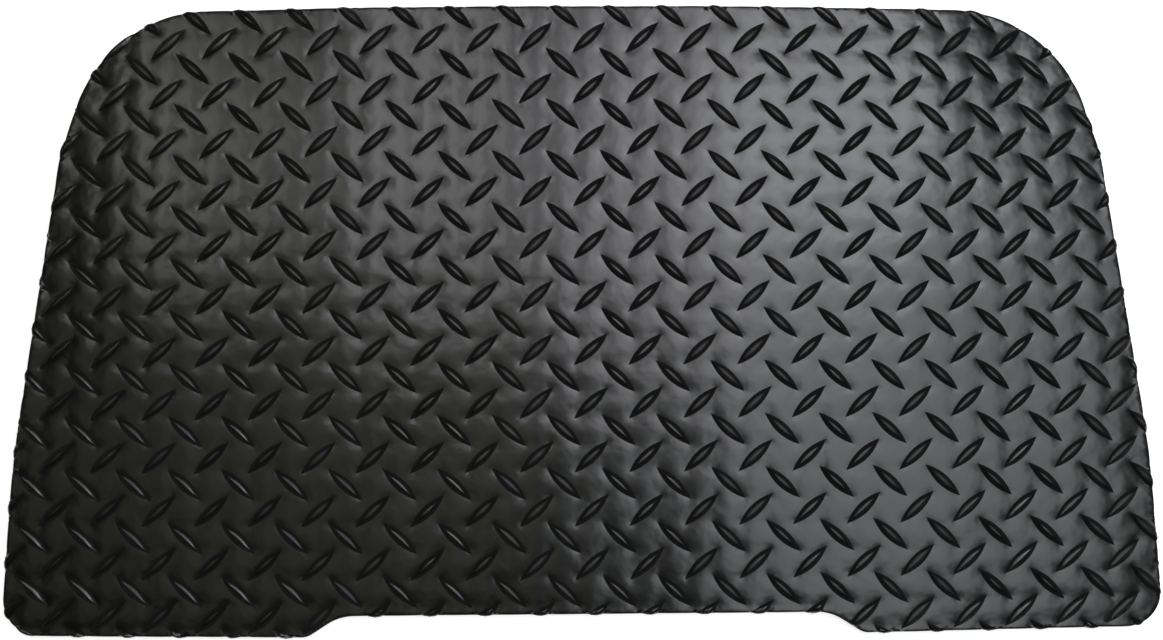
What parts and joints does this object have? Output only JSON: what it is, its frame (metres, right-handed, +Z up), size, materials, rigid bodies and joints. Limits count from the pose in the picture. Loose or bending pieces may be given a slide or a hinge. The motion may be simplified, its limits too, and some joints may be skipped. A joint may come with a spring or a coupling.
{
  "type": "anti fatigue mat",
  "caption": "Black cushioned standing mat with a barred tread top, a rolled-down rim, large rounded back corners and a shallow notch in the long front edge.",
  "frame": {"origin": "on the floor, under the middle of the mat's outline", "axes": "+X along the long edges, +Y towards the back edge (the notched front edge faces -Y), +Z up"},
  "size_m": [0.8241, 0.4557, 0.0212],
  "materials": {
    "moulded_skin": "satin moulded black, fine grain",
    "cushion_foam": "matt closed-cell foam",
    "cured_adhesive": "cured adhesive",
    "grip_rubber": "matt non-slip sheet"
  },
  "bodies": {
    "root": {"tread_skin": "moulded_skin", "skin_bond_film": "cured_adhesive", "foam_core": "cushion_foam", "base_bond_film": "cured_adhesive", "rim_bond_bead": "cured_adhesive", "grip_base": "grip_rubber"}
  },
  "joints": []
}
